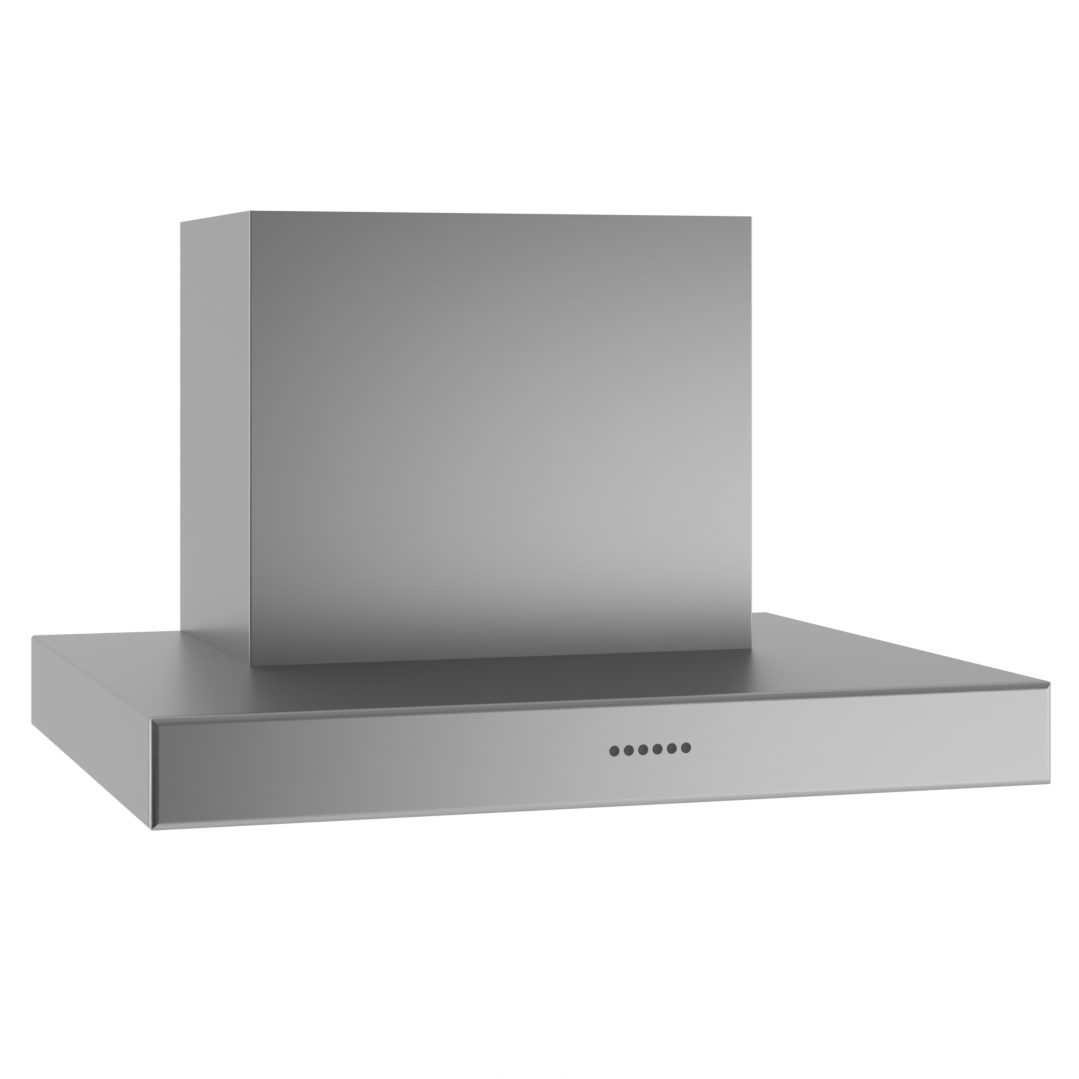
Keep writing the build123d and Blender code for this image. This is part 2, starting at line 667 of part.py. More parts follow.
# Filters: a channel frame with pins and handle lugs, two rows of interlocking baffles and a wire bail
inner_width = filter_width - 2 * filter_sheet
baffle_count = floor((inner_width - 2 * baffle_end_gap - baffle_width) / baffle_pitch)
for name, centre in zip(filter_names, filter_centres):
    with BuildPart() as filter_frame:
        with BuildSketch(Plane.XY.offset(deck_height)):
            with Locations((centre, filter_middle)):
                RectangleRounded(filter_width, filter_length, filter_corner_radius)
        extrude(amount=filter_thickness)
        with BuildSketch(Plane.XY.offset(deck_height + filter_sheet)):
            with Locations((centre, filter_middle)):
                Rectangle(inner_width, filter_length - 2 * filter_sheet)
        extrude(amount=filter_thickness - 2 * filter_sheet, mode=Mode.SUBTRACT)
        with BuildSketch(Plane.XY.offset(deck_height)):
            with Locations((centre, filter_middle)):
                Rectangle(filter_width - 2 * filter_lip, filter_length - 2 * filter_lip)
        extrude(amount=filter_thickness, mode=Mode.SUBTRACT)
        for side in (-1, 1):
            with BuildSketch(Plane.YZ.offset(centre + side * (filter_width / 2 + pin_reach))):
                with Locations((pin_y, pin_z)):
                    Circle(pin_radius)
            extrude(amount=-side * (pin_reach + filter_sheet))
            with BuildSketch(Plane.YZ.offset(centre + side * lug_x - lug_sheet / 2)):
                with Locations((lug_y, lug_z)):
                    Circle(lug_radius)
                with Locations((lug_y, (lug_z + deck_height) / 2)):
                    Rectangle(2 * lug_radius, deck_height - lug_z)
                with Locations((lug_y, lug_z)):
                    Circle(bail_radius + bail_clearance, mode=Mode.SUBTRACT)
            extrude(amount=lug_sheet)
    save(filter_frame, f"filter_frame_{name}")

    with BuildPart() as filter_baffles:
        row_length = filter_length - 2 * filter_sheet - 2 * baffle_end_gap
        row_back = filter_back - filter_sheet - baffle_end_gap
        rows = (
            (baffle_count, deck_height + filter_sheet + baffle_sheet / 2, 1),
            (baffle_count + 1, filter_top - filter_sheet - baffle_sheet / 2, -1),
        )
        for count, floor_z, up in rows:
            for i in range(count):
                x = centre + (i - (count - 1) / 2) * baffle_pitch
                reach = (baffle_width - baffle_sheet) / 2
                lip_z = floor_z + up * baffle_lip
                with BuildSketch(facing_front(row_back)):
                    with BuildLine():
                        FilletPolyline(
                            (x - reach, lip_z),
                            (x - reach, floor_z),
                            (x + reach, floor_z),
                            (x + reach, lip_z),
                            radius=baffle_bend,
                        )
                    trace(line_width=baffle_sheet)
                extrude(amount=row_length)
    save(filter_baffles, f"filter_baffles_{name}")

    with BuildPart() as filter_handle:
        leg_x = bail_width / 2
        end_x = lug_x + lug_sheet / 2 + lug_gap / 2
        with BuildLine() as bail_path:
            FilletPolyline(
                (centre - end_x, lug_y, lug_z),
                (centre - leg_x, lug_y, lug_z),
                (centre - leg_x, lug_y, lug_z - bail_drop),
                (centre + leg_x, lug_y, lug_z - bail_drop),
                (centre + leg_x, lug_y, lug_z),
                (centre + end_x, lug_y, lug_z),
                radius=[lug_gap - lug_sheet / 2, bail_bend, bail_bend, lug_gap - lug_sheet / 2],
            )
        with BuildSketch(Plane(origin=bail_path.line @ 0, z_dir=bail_path.line % 0)):
            Circle(bail_radius)
        sweep()
    save(filter_handle, f"filter_handle_{name}")

    # Two leaf springs under the deck hold the filter's front edge up
    with BuildPart() as filter_clips:
        for side in (-1, 1):
            clip_x = centre + side * clip_spacing / 2
            with BuildSketch(Plane.YZ.offset(clip_x - clip_width / 2)):
                with BuildLine():
                    leaf_z = deck_height - clip_sheet / 2
                    Polyline(
                        (bank_front - clip_seat, leaf_z),
                        (filter_front + clip_reach, leaf_z),
                        (filter_front + clip_reach + clip_tip, leaf_z - clip_tip / 2),
                    )
                trace(line_width=clip_sheet)
            extrude(amount=clip_width)
            with BuildSketch(Plane.XY.offset(deck_height - clip_sheet)):
                with Locations((clip_x, bank_front - clip_seat / 2)):
                    Circle(clip_rivet_radius)
            extrude(amount=-clip_rivet_height, taper=30)
    save(filter_clips, f"filter_clips_{name}")

# Lights: trim bezel, lens, lamp board and finned housing, set in the deck's front strip
for name, side in light_sides.items():
    lamp = (side * light_spacing / 2, light_y)
    neck_radius = light_hole_radius - light_clearance
    neck_inner = neck_radius - light_neck_wall
    with BuildPart() as light_bezel:
        with BuildSketch(Plane.XY.offset(deck_height - light_bezel_height)):
            with Locations(lamp):
                Circle(light_bezel_radius)
                Circle(light_window_radius, mode=Mode.SUBTRACT)
        extrude(amount=light_bezel_height)
        fillet(light_bezel.edges().group_by(Axis.Z)[0], light_bezel_fillet)
        with BuildSketch(Plane.XY.offset(deck_height)):
            with Locations(lamp):
                Circle(neck_radius)
                Circle(neck_inner, mode=Mode.SUBTRACT)
        extrude(amount=light_neck_height)
    save(light_bezel, f"light_bezel_{name}")

    with BuildPart() as light_lens:
        with BuildSketch(Plane.XY.offset(deck_height)):
            with Locations(lamp):
                Circle(neck_inner - light_clearance)
        extrude(amount=light_lens_height)
    save(light_lens, f"light_lens_{name}")

    board_top = deck_height + light_neck_height + light_board_height
    with BuildPart() as light_board:
        with BuildSketch(Plane.XY.offset(board_top - light_board_height)):
            with Locations(lamp):
                Circle(neck_radius - light_board_margin)
        extrude(amount=light_board_height)
    save(light_board, f"light_board_{name}")

    housing_radius = light_hole_radius + light_housing_wall
    with BuildPart() as light_housing:
        with BuildSketch(Plane.XY.offset(deck_top)):
            with Locations(lamp):
                Circle(housing_radius)
        extrude(amount=light_housing_height)
        with BuildSketch(Plane.XY.offset(deck_top)):
            with Locations(lamp):
                Circle(light_hole_radius)
        extrude(amount=board_top - deck_top, mode=Mode.SUBTRACT)
        with BuildSketch(Plane.XY.offset(deck_top + light_housing_height)):
            with Locations(lamp):
                with GridLocations(2 * housing_radius / light_fin_count, 0, light_fin_count - 1, 1):
                    Rectangle(light_fin_slot, 2 * housing_radius)
        extrude(amount=-light_fin_depth, mode=Mode.SUBTRACT)
    save(light_housing, f"light_housing_{name}")

# Buttons: round caps in the front panel's holes, on stems that slide in the control housing
for number, x in enumerate(button_xs, start=1):
    cap_radius = button_hole_radius - button_gap
    dish_sphere = (button_dish_radius**2 + button_dish_depth**2) / (2 * button_dish_depth)
    with BuildPart() as button:
        with BuildSketch(facing_front(cap_back)):
            with Locations((x, button_height)):
                Circle(cap_radius)
        extrude(amount=button_cap_length)
        fillet(button.edges().group_by(Axis.Y)[0], button_edge)
        with Locations((x, front_y - button_proud + button_dish_depth - dish_sphere, button_height)):
            Sphere(dish_sphere, mode=Mode.SUBTRACT)
        with BuildSketch(facing_front(stem_back)):
            with Locations((x, button_height)):
                Circle(button_stem_radius)
        extrude(amount=stem_back - cap_back)
        with BuildSketch(facing_front(collar_front + button_collar_length)):
            with Locations((x, button_height)):
                Circle(button_collar_radius)
        extrude(amount=button_collar_length)
    save(button, f"button_{number}")

# Control housing: an open-backed box on two bosses, with a guide hole for each button's stem
control_hollow_x = control_half_width - control_wall
control_hollow_z = control_half_height - control_wall
post_x = control_hollow_x - control_post / 2
post_z = control_hollow_z - control_post / 2
entry_y = board_front - cable_entry_depth
with BuildPart() as control_housing:
    with BuildSketch(facing_front(control_back)):
        with Locations((button_group_x, button_height)):
            Rectangle(2 * control_half_width, 2 * control_half_height)
    extrude(amount=control_depth)
    with BuildSketch(facing_front(control_back)):
        with Locations((button_group_x, button_height)):
            Rectangle(2 * control_hollow_x, 2 * control_hollow_z)
    extrude(amount=control_back - control_inside, mode=Mode.SUBTRACT)
    with BuildSketch(facing_front(board_front)):
        with Locations((button_group_x, button_height)):
            with GridLocations(2 * post_x, 2 * post_z, 2, 2):
                Rectangle(control_post, control_post)
    extrude(amount=board_front - control_inside)
    with BuildSketch(facing_front(control_front)):
        with Locations((button_group_x, button_height)):
            with GridLocations(2 * (control_half_width - control_boss_radius), 0, 2, 1):
                Circle(control_boss_radius)
    extrude(amount=control_front - fascia_inside)
    with BuildSketch(facing_front(control_front)):
        with Locations(*[(x, button_height) for x in button_xs]):
            Circle(button_stem_radius + pin_clearance)
    extrude(amount=-control_wall, mode=Mode.SUBTRACT)
    with BuildSketch(Plane.XY.offset(control_top)):
        with Locations((button_group_x, entry_y)):
            Circle(cable_radius + cable_clearance)
    extrude(amount=-control_wall, mode=Mode.SUBTRACT)
save(control_housing, "control_housing")

with BuildPart() as control_board:
    with BuildSketch(facing_front(board_front)):
        with Locations((button_group_x, button_height)):
            Rectangle(2 * (control_hollow_x - board_clearance), 2 * (control_hollow_z - board_clearance))
    extrude(amount=-board_thickness)
save(control_board, "control_board")

with BuildPart() as button_switches:
    for x in button_xs:
        with BuildSketch(facing_front(board_front)):
            with Locations((x, button_height)):
                Rectangle(switch_side, switch_side)
        extrude(amount=switch_body)
        with BuildSketch(facing_front(board_front - switch_body)):
            with Locations((x, button_height)):
                Circle(switch_plunger_radius)
        extrude(amount=switch_plunger)
save(button_switches, "button_switches")

# Blower box: sits over the canopy opening on a gasket and encloses the scroll
with BuildPart() as blower_gasket:
    with BuildSketch(Plane.XY.offset(canopy_height)):
        with Locations((0, box_middle)):
            Rectangle(blower_box_width + 2 * blower_flange, box_depth + 2 * blower_flange)
            Rectangle(
                blower_box_width - 2 * blower_sheet, box_depth - 2 * blower_sheet, mode=Mode.SUBTRACT
            )
        with Locations(*box_screw_points):
            Circle(screw_hole_radius, mode=Mode.SUBTRACT)
    extrude(amount=blower_gasket_height)
save(blower_gasket, "blower_gasket")

with BuildPart() as blower_box:
    with BuildSketch(Plane.XY.offset(box_bottom)):
        with Locations((0, box_middle)):
            Rectangle(blower_box_width, box_depth)
    extrude(amount=box_top - box_bottom)
    with BuildSketch(Plane.XY.offset(box_bottom)):
        with Locations((0, box_middle)):
            Rectangle(blower_box_width - 2 * blower_sheet, box_depth - 2 * blower_sheet)
    extrude(amount=scroll_top - box_bottom, mode=Mode.SUBTRACT)
    with BuildSketch(Plane.XY.offset(box_bottom)):
        with Locations((0, box_middle)):
            Rectangle(blower_box_width + 2 * blower_flange, box_depth + 2 * blower_flange)
            Rectangle(
                blower_box_width - 2 * blower_sheet, box_depth - 2 * blower_sheet, mode=Mode.SUBTRACT
            )
        with Locations(*box_screw_points):
            Circle(screw_hole_radius, mode=Mode.SUBTRACT)
    extrude(amount=blower_sheet)
    with BuildSketch(Plane.XY.offset(box_top)):
        with Locations((0, (throat_front + throat_back) / 2)):
            Rectangle(scroll_width - 2 * blower_sheet, throat_back - throat_front - 2 * blower_sheet)
        with Locations(*collar_screw_points):
            Circle(screw_hole_radius)
    extrude(amount=-2 * blower_sheet, mode=Mode.SUBTRACT)
save(blower_box, "blower_box")

# Scroll housing: a volute of three growing quarter arcs that opens upwards, with an inlet on each side
arc_low = axis_z - scroll_step / 2
arc_high = axis_z + scroll_step / 2
with BuildPart() as scroll_housing:
    with BuildSketch(Plane.YZ.offset(-scroll_half)):
        with BuildLine():
            CenterArc((throat_front, arc_low), scroll_r1, 90, 90)
            CenterArc((axis_y + scroll_step / 2, arc_low), scroll_r2, 180, 90)
            CenterArc((axis_y + scroll_step / 2, arc_high), scroll_r3, 270, 90)
            Polyline(
                (throat_back, arc_high),
                (throat_back, scroll_top),
                (throat_front, scroll_top),
                (throat_front, arc_low + scroll_r1),
            )
        make_face()
    extrude(amount=scroll_width)
    offset(amount=-blower_sheet, openings=scroll_housing.faces().sort_by(Axis.Z)[-1])
    with BuildSketch(Plane.YZ.offset(-scroll_half)):
        with Locations((axis_y, axis_z)):
            Circle(inlet_radius)
    extrude(amount=scroll_width, mode=Mode.SUBTRACT)
save(scroll_housing, "scroll_housing")

# Blower wheel: curved blades between two end rings, on a middle disc with a hub
blade_inner = wheel_radius - blade_depth
blade_turn = radians(blade_sweep)
blade_middle = wheel_radius - blade_depth / 2
blade_line = ThreePointArc(
    (blade_inner, 0),
    (blade_middle * cos(blade_turn / 4), blade_middle * sin(blade_turn / 4)),
    ((wheel_radius - blade_sheet) * cos(blade_turn), (wheel_radius - blade_sheet) * sin(blade_turn)),
)
with BuildPart() as blower_wheel:
    with BuildSketch(Plane.YZ.offset(-wheel_width / 2)):
        with Locations((axis_y, axis_z)):
            with PolarLocations(0, blade_count):
                SlotArc(blade_line, blade_sheet)
    extrude(amount=wheel_width)
    for ring_x in (-wheel_width / 2, wheel_width / 2 - wheel_ring_height):
        with BuildSketch(Plane.YZ.offset(ring_x)):
            with Locations((axis_y, axis_z)):
                Circle(wheel_radius)
                Circle(wheel_radius - wheel_ring, mode=Mode.SUBTRACT)
        extrude(amount=wheel_ring_height)
    with BuildSketch(Plane.YZ.offset(-wheel_disc / 2)):
        with Locations((axis_y, axis_z)):
            Circle(wheel_radius)
    extrude(amount=wheel_disc)
    with BuildSketch(Plane.YZ.offset(-wheel_disc)):
        with Locations((axis_y, axis_z)):
            Circle(wheel_hub_radius)
    extrude(amount=wheel_hub_length)
    with BuildSketch(Plane.YZ.offset(-wheel_disc)):
        with Locations((axis_y, axis_z)):
            Circle(shaft_radius)
    extrude(amount=wheel_hub_length, mode=Mode.SUBTRACT)
save(blower_wheel, "blower_wheel")

with BuildPart() as motor_shaft:
    with BuildSketch(Plane.YZ.offset(motor_end - shaft_tail)):
        with Locations((axis_y, axis_z)):
            Circle(shaft_radius)
    extrude(amount=wheel_hub_length - wheel_disc - motor_end + 2 * shaft_tail)
save(motor_shaft, "motor_shaft")

with BuildPart() as motor_body:
    with BuildSketch(Plane.YZ.offset(motor_end)):
        with Locations((axis_y, axis_z)):
            Circle(motor_radius)
    extrude(amount=motor_length)
    fillet(motor_body.edges().filter_by(GeomType.CIRCLE), motor_fillet)
    with BuildSketch(Plane.YZ.offset(motor_end)):
        with Locations((axis_y, axis_z)):
            Circle(shaft_radius + shaft_clearance)
    extrude(amount=motor_length, mode=Mode.SUBTRACT)
save(motor_body, "motor_body")

# Motor bracket: a band round the motor on three arms, with posts that stand on the scroll's left wall
band_x = motor_end + motor_fillet
post_radius = inlet_radius + bracket_post_inset
with BuildPart() as motor_bracket:
    with BuildSketch(Plane.YZ.offset(band_x)):
        with Locations((axis_y, axis_z)):
            Circle(motor_radius + bracket_ring_sheet)
    extrude(amount=bracket_ring_width)
    with BuildSketch(Plane.YZ.offset(band_x)):
        with Locations((axis_y, axis_z)):
            with PolarLocations(post_radius / 2, bracket_arm_count, start_angle=90):
                Rectangle(post_radius, bracket_arm_width)
            with PolarLocations(post_radius, bracket_arm_count, start_angle=90):
                Circle(bracket_arm_width / 2)
    extrude(amount=bracket_arm_sheet)
    with BuildSketch(Plane.YZ.offset(band_x)):
        with Locations((axis_y, axis_z)):
            with PolarLocations(post_radius, bracket_arm_count, start_angle=90):
                Circle(bracket_post_radius)
    extrude(amount=-scroll_half - band_x)
    with BuildSketch(Plane.YZ.offset(band_x)):
        with Locations((axis_y, axis_z)):
            Circle(motor_radius)
    extrude(amount=bracket_ring_width, mode=Mode.SUBTRACT)
save(motor_bracket, "motor_bracket")

# Duct collar on its plate, with a spindle, two half-round flaps that lift and the seal that they close on
with BuildPart() as collar_plate:
    with BuildSketch(Plane.XY.offset(box_top)):
        with Locations((0, collar_y)):
            Rectangle(2 * (collar_radius + collar_margin), 2 * (collar_radius + collar_margin))
            Circle(collar_inner, mode=Mode.SUBTRACT)
        with Locations(*collar_screw_points):
            Circle(screw_hole_radius, mode=Mode.SUBTRACT)
    extrude(amount=collar_sheet)
save(collar_plate, "collar_plate")

with BuildPart() as damper_collar:
    with BuildSketch(Plane.XY.offset(collar_seat)):
        with Locations((0, collar_y)):
            Circle(collar_radius)
            Circle(collar_inner, mode=Mode.SUBTRACT)
    extrude(amount=collar_height)
save(damper_collar, "damper_collar")

with BuildPart() as damper_spindle:
    with BuildSketch(Plane.YZ.offset(-collar_radius)):
        with Locations((collar_y, damper_z)):
            Circle(spindle_radius)
    extrude(amount=2 * collar_radius)
    with BuildSketch(Plane.XY.offset(collar_seat)):
        with Locations((0, collar_y)):
            Circle(collar_inner)
    extrude(amount=collar_height, mode=Mode.INTERSECT)
save(damper_spindle, "damper_spindle")

for name, side, knuckles in (("front", -1, front_knuckles), ("rear", 1, rear_knuckles)):
    knuckle_radius = spindle_radius + spindle_clearance + knuckle_wall
    with BuildPart() as damper_flap:
        with BuildSketch(Plane.XY.offset(damper_z - flap_sheet / 2)):
            with Locations((0, collar_y)):
                Circle(flap_radius)
            with Locations((0, collar_y + side * (flap_hinge_gap + flap_radius / 2))):
                Rectangle(2 * flap_radius, flap_radius, mode=Mode.INTERSECT)
            for knuckle_x in knuckles:
                with Locations((knuckle_x, collar_y + side * (flap_hinge_gap + spindle_radius) / 2)):
                    Rectangle(knuckle_length, flap_hinge_gap - spindle_radius + flap_sheet)
        extrude(amount=flap_sheet)
        for knuckle_x in knuckles:
            with BuildSketch(Plane.YZ.offset(knuckle_x - knuckle_length / 2)):
                with Locations((collar_y, damper_z)):
                    Circle(knuckle_radius)
            extrude(amount=knuckle_length)
            with BuildSketch(Plane.YZ.offset(knuckle_x - knuckle_length / 2)):
                with Locations((collar_y, damper_z)):
                    Circle(spindle_radius + spindle_clearance)
            extrude(amount=knuckle_length, mode=Mode.SUBTRACT)
    save(damper_flap, f"damper_flap_{name}")

with BuildPart() as damper_seal:
    with BuildSketch(Plane.XY.offset(damper_z - flap_sheet / 2)):
        with Locations((0, collar_y)):
            Circle(collar_inner)
            Circle(collar_inner - seal_width, mode=Mode.SUBTRACT)
            Rectangle(2 * collar_inner, 2 * seal_notch, mode=Mode.SUBTRACT)
    extrude(amount=-seal_height)
save(damper_seal, "damper_seal")

# Junction box with its removable side cover, beside the blower
with BuildPart() as junction_box:
    with BuildSketch(Plane.XY.offset(canopy_height)):
        with Locations((junction_x, junction_middle)):
            Rectangle(junction_width, junction_depth)
    extrude(amount=junction_height)
    offset(amount=-junction_sheet, openings=junction_box.faces().sort_by(Axis.X)[-1])
    with BuildSketch(Plane.YZ.offset(junction_x + junction_width / 2)):
        with Locations((junction_middle, canopy_height + cover_screw_rise)):
            with GridLocations(2 * cover_screw_reach, 0, 2, 1):
                Rectangle(2 * flange_screw_inset, 2 * flange_screw_inset)
                Circle(screw_hole_radius, mode=Mode.SUBTRACT)
    extrude(amount=-junction_sheet)
    with BuildSketch(Plane.XY.offset(junction_top)):
        with Locations((junction_x, supply_inlet_y)):
            Circle(supply_inlet_radius)
    extrude(amount=-junction_sheet, mode=Mode.SUBTRACT)
    with BuildSketch(Plane.XY.offset(canopy_height)):
        with Locations((junction_x, cable_entry_y)):
            Circle(grommet_radius)
    extrude(amount=junction_sheet, mode=Mode.SUBTRACT)
save(junction_box, "junction_box")

with BuildPart() as junction_cover:
    with BuildSketch(Plane.YZ.offset(junction_x + junction_width / 2)):
        with Locations((junction_middle, canopy_height + junction_height / 2)):
            Rectangle(junction_depth, junction_height)
        with Locations((junction_middle, canopy_height + cover_screw_rise)):
            with GridLocations(2 * cover_screw_reach, 0, 2, 1):
                Circle(screw_hole_radius, mode=Mode.SUBTRACT)
    extrude(amount=junction_sheet)
save(junction_cover, "junction_cover")

# Lamp driver and motor run capacitor with its strap, on the other side of the blower
with BuildPart() as light_driver:
    with BuildSketch(Plane.XY.offset(canopy_height)):
        with Locations((driver_x, driver_middle)):
            Rectangle(driver_width, driver_depth)
    extrude(amount=driver_height)
    fillet(light_driver.edges().filter_by(Axis.Z), driver_fillet)
    fillet(light_driver.edges().group_by(Axis.Z)[-1], driver_fillet)
    with BuildSketch(Plane.XY.offset(canopy_height)):
        with Locations((driver_x, driver_middle)):
            Rectangle(driver_width / 2, driver_depth + 2 * driver_ear)
        with Locations(*driver_screw_points):
            Circle(screw_hole_radius, mode=Mode.SUBTRACT)
    extrude(amount=driver_ear_sheet)
save(light_driver, "light_driver")

with BuildPart() as run_capacitor:
    with BuildSketch(Plane.XY.offset(canopy_height)):
        with Locations((capacitor_x, capacitor_y)):
            Circle(capacitor_radius)
    extrude(amount=capacitor_height)
    fillet(run_capacitor.edges().filter_by(GeomType.CIRCLE), capacitor_fillet)
save(run_capacitor, "run_capacitor")

with BuildPart() as capacitor_strap:
    with BuildSketch(Plane.XY.offset(canopy_height + strap_rise)):
        with Locations((capacitor_x, capacitor_y)):
            Circle(capacitor_radius + strap_sheet)
    extrude(amount=strap_width)
    with BuildSketch(Plane.XY.offset(canopy_height)):
        with Locations((capacitor_x, capacitor_y - capacitor_radius - strap_sheet / 2)):
            Rectangle(strap_foot, strap_sheet)
    extrude(amount=strap_rise + strap_width)
    with BuildSketch(Plane.XY.offset(canopy_height)):
        with Locations((capacitor_x, strap_foot_y + strap_sheet / 2)):
            Rectangle(strap_foot, strap_foot + strap_sheet)
        with Locations(*strap_screw_points):
            Circle(screw_hole_radius, mode=Mode.SUBTRACT)
    extrude(amount=strap_sheet)
    with BuildSketch(Plane.XY.offset(canopy_height)):
        with Locations((capacitor_x, capacitor_y)):
            Circle(capacitor_radius)
    extrude(amount=strap_rise + strap_width, mode=Mode.SUBTRACT)
save(capacitor_strap, "capacitor_strap")

# Wiring from the control housing to the junction box, clipped under the canopy top
cable_turn_1 = (button_group_x, front_y + cable_turn_front, cable_z)
cable_turn_2 = (junction_x, cable_entry_y - cable_turn_lead, cable_z)
cable_points = [
    (button_group_x, entry_y, control_top - 2 * control_wall),
    (button_group_x, entry_y, cable_z),
    cable_turn_1,
    cable_turn_2,
    (junction_x, cable_entry_y, cable_z),
    (junction_x, cable_entry_y, canopy_height + cable_entry_rise),
]
cable_radii = [cable_rise_radius, cable_sweep_radius, cable_sweep_radius, cable_rise_radius]
with BuildPart() as wiring_harness:
    with BuildLine() as cable_path:
        FilletPolyline(*cable_points, radius=cable_radii)
    with BuildSketch(Plane(origin=cable_path.line @ 0, z_dir=cable_path.line % 0)):
        Circle(cable_radius)
    sweep()
save(wiring_harness, "wiring_harness")

saddle_radius = cable_radius + cable_clearance
saddle_span = Vector(*cable_turn_2) - Vector(*cable_turn_1)
saddle_places = [
    (Vector(button_group_x, (entry_y + cable_turn_1[1]) / 2, cable_z), Vector(0, 1, 0)),
    (Vector(*cable_turn_1) + saddle_span / 2, saddle_span.normalized()),
]
with BuildPart() as harness_clips:
    for place, run in saddle_places:
        across = run.cross(Vector(0, 0, 1))
        saddle = Plane(origin=place - run * clip_saddle_width / 2, x_dir=across, z_dir=run)
        up = -1 if saddle.y_dir.Z < 0 else 1
        roof = canopy_underside - cable_z
        with BuildSketch(saddle):
            Circle(saddle_radius + clip_saddle_wall)
            with Locations((0, up * roof / 2)):
                Rectangle(2 * saddle_radius, roof)
            with Locations((0, up * (roof - clip_saddle_wall / 2))):
                Rectangle(clip_base_width, clip_saddle_wall)
            Circle(saddle_radius, mode=Mode.SUBTRACT)
        extrude(amount=clip_saddle_width)
save(harness_clips, "harness_clips")

grommet_bottom = canopy_underside
grommet_top = canopy_height + junction_sheet
with BuildPart() as harness_grommet:
    with BuildSketch(Plane.XY.offset(grommet_bottom)):
        with Locations((junction_x, cable_entry_y)):
            Circle(grommet_radius)
    extrude(amount=grommet_top - grommet_bottom)
    for face_z, height in ((grommet_top, grommet_flange_height), (grommet_bottom, -grommet_flange_height)):
        with BuildSketch(Plane.XY.offset(face_z)):
            with Locations((junction_x, cable_entry_y)):
                Circle(grommet_radius + grommet_flange)
        extrude(amount=height)
    with BuildSketch(Plane.XY.offset(grommet_bottom - grommet_flange_height)):
        with Locations((junction_x, cable_entry_y)):
            Circle(saddle_radius)
    extrude(amount=grommet_top - grommet_bottom + 2 * grommet_flange_height, mode=Mode.SUBTRACT)
save(harness_grommet, "harness_grommet")

# Screws: through the flanges, the junction cover and the ears of the wall bracket
flange_seats = (
    (box_bottom + blower_sheet, box_screw_points, screw_tip + box_bottom - canopy_height),
    (canopy_height + outer_sheet, foot_screw_points, screw_tip),
    (collar_seat, collar_screw_points, screw_tip),
    (canopy_height + driver_ear_sheet, driver_screw_points, screw_tip),
    (canopy_height + strap_sheet, strap_screw_points, screw_tip),
)
screw_groups = [screws(Plane.XY.offset(z), points, shank) for z, points, shank in flange_seats]
cover_seat = Plane.YZ.offset(junction_x + junction_width / 2 + junction_sheet)
cover_points = [
    (junction_middle + side * cover_screw_reach, canopy_height + cover_screw_rise) for side in (-1, 1)
]
ear_points = [(side * bracket_screw_x, bracket_middle) for side in (-1, 1)]
screw_groups.append(screws(cover_seat, cover_points, screw_tip))
screw_groups.append(screws(facing_front(ear_front), ear_points, -ear_front - joggle_clearance))
with BuildPart() as sheet_screws:
    add(screw_groups)
save(sheet_screws, "sheet_screws")
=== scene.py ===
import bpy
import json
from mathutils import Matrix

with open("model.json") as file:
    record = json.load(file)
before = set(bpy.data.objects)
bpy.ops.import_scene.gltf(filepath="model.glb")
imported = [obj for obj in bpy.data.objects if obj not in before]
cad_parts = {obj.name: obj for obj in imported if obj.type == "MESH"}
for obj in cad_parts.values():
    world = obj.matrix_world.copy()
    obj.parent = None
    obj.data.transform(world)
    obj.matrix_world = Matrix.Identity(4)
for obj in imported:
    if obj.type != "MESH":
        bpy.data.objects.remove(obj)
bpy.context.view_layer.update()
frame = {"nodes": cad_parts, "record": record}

import json
import math

import bpy
from mathutils import Vector

# Outdoor range hood: brushed steel canopy and duct cover in a plain white studio.
# Metres. X runs across the hood, Y towards the wall, Z up from the bottom rim.

MM = 0.001
WHITE = (1.0, 1.0, 1.0, 1.0)
nodes = frame["nodes"]


def linear(code):
    """Linear colour with full alpha from an sRGB hex code."""
    parts = [int(code[i:i + 2], 16) / 255 for i in (1, 3, 5)]
    return (*[p / 12.92 if p <= 0.04045 else ((p + 0.055) / 1.055) ** 2.4 for p in parts], 1.0)


def grey(level):
    """Linear grey with full alpha."""
    return (level, level, level, 1.0)


def add_node(tree, kind, inputs=None, **settings):
    """Add a shader node. settings are its own properties; inputs are socket values or sockets to link."""
    made = tree.nodes.new(kind)
    for name, value in settings.items():
        setattr(made, name, value)
    for name, value in (inputs or {}).items():
        if isinstance(value, bpy.types.NodeSocket):
            tree.links.new(value, made.inputs[name])
        else:
            made.inputs[name].default_value = value
    return made


def start_material(name):
    """An empty node material with its output node."""
    made = bpy.data.materials.new(name)
    made.use_nodes = True
    made.node_tree.nodes.clear()
    return made, made.node_tree, add_node(made.node_tree, "ShaderNodeOutputMaterial")


def set_ramp(ramp_node, stops):
    """Give a colour ramp these (position, colour) stops."""
    ramp = ramp_node.color_ramp
    while len(ramp.elements) < len(stops):
        ramp.elements.new(0.5)
    for element, (position, colour) in zip(ramp.elements, stops):
        element.position = position
        element.color = colour


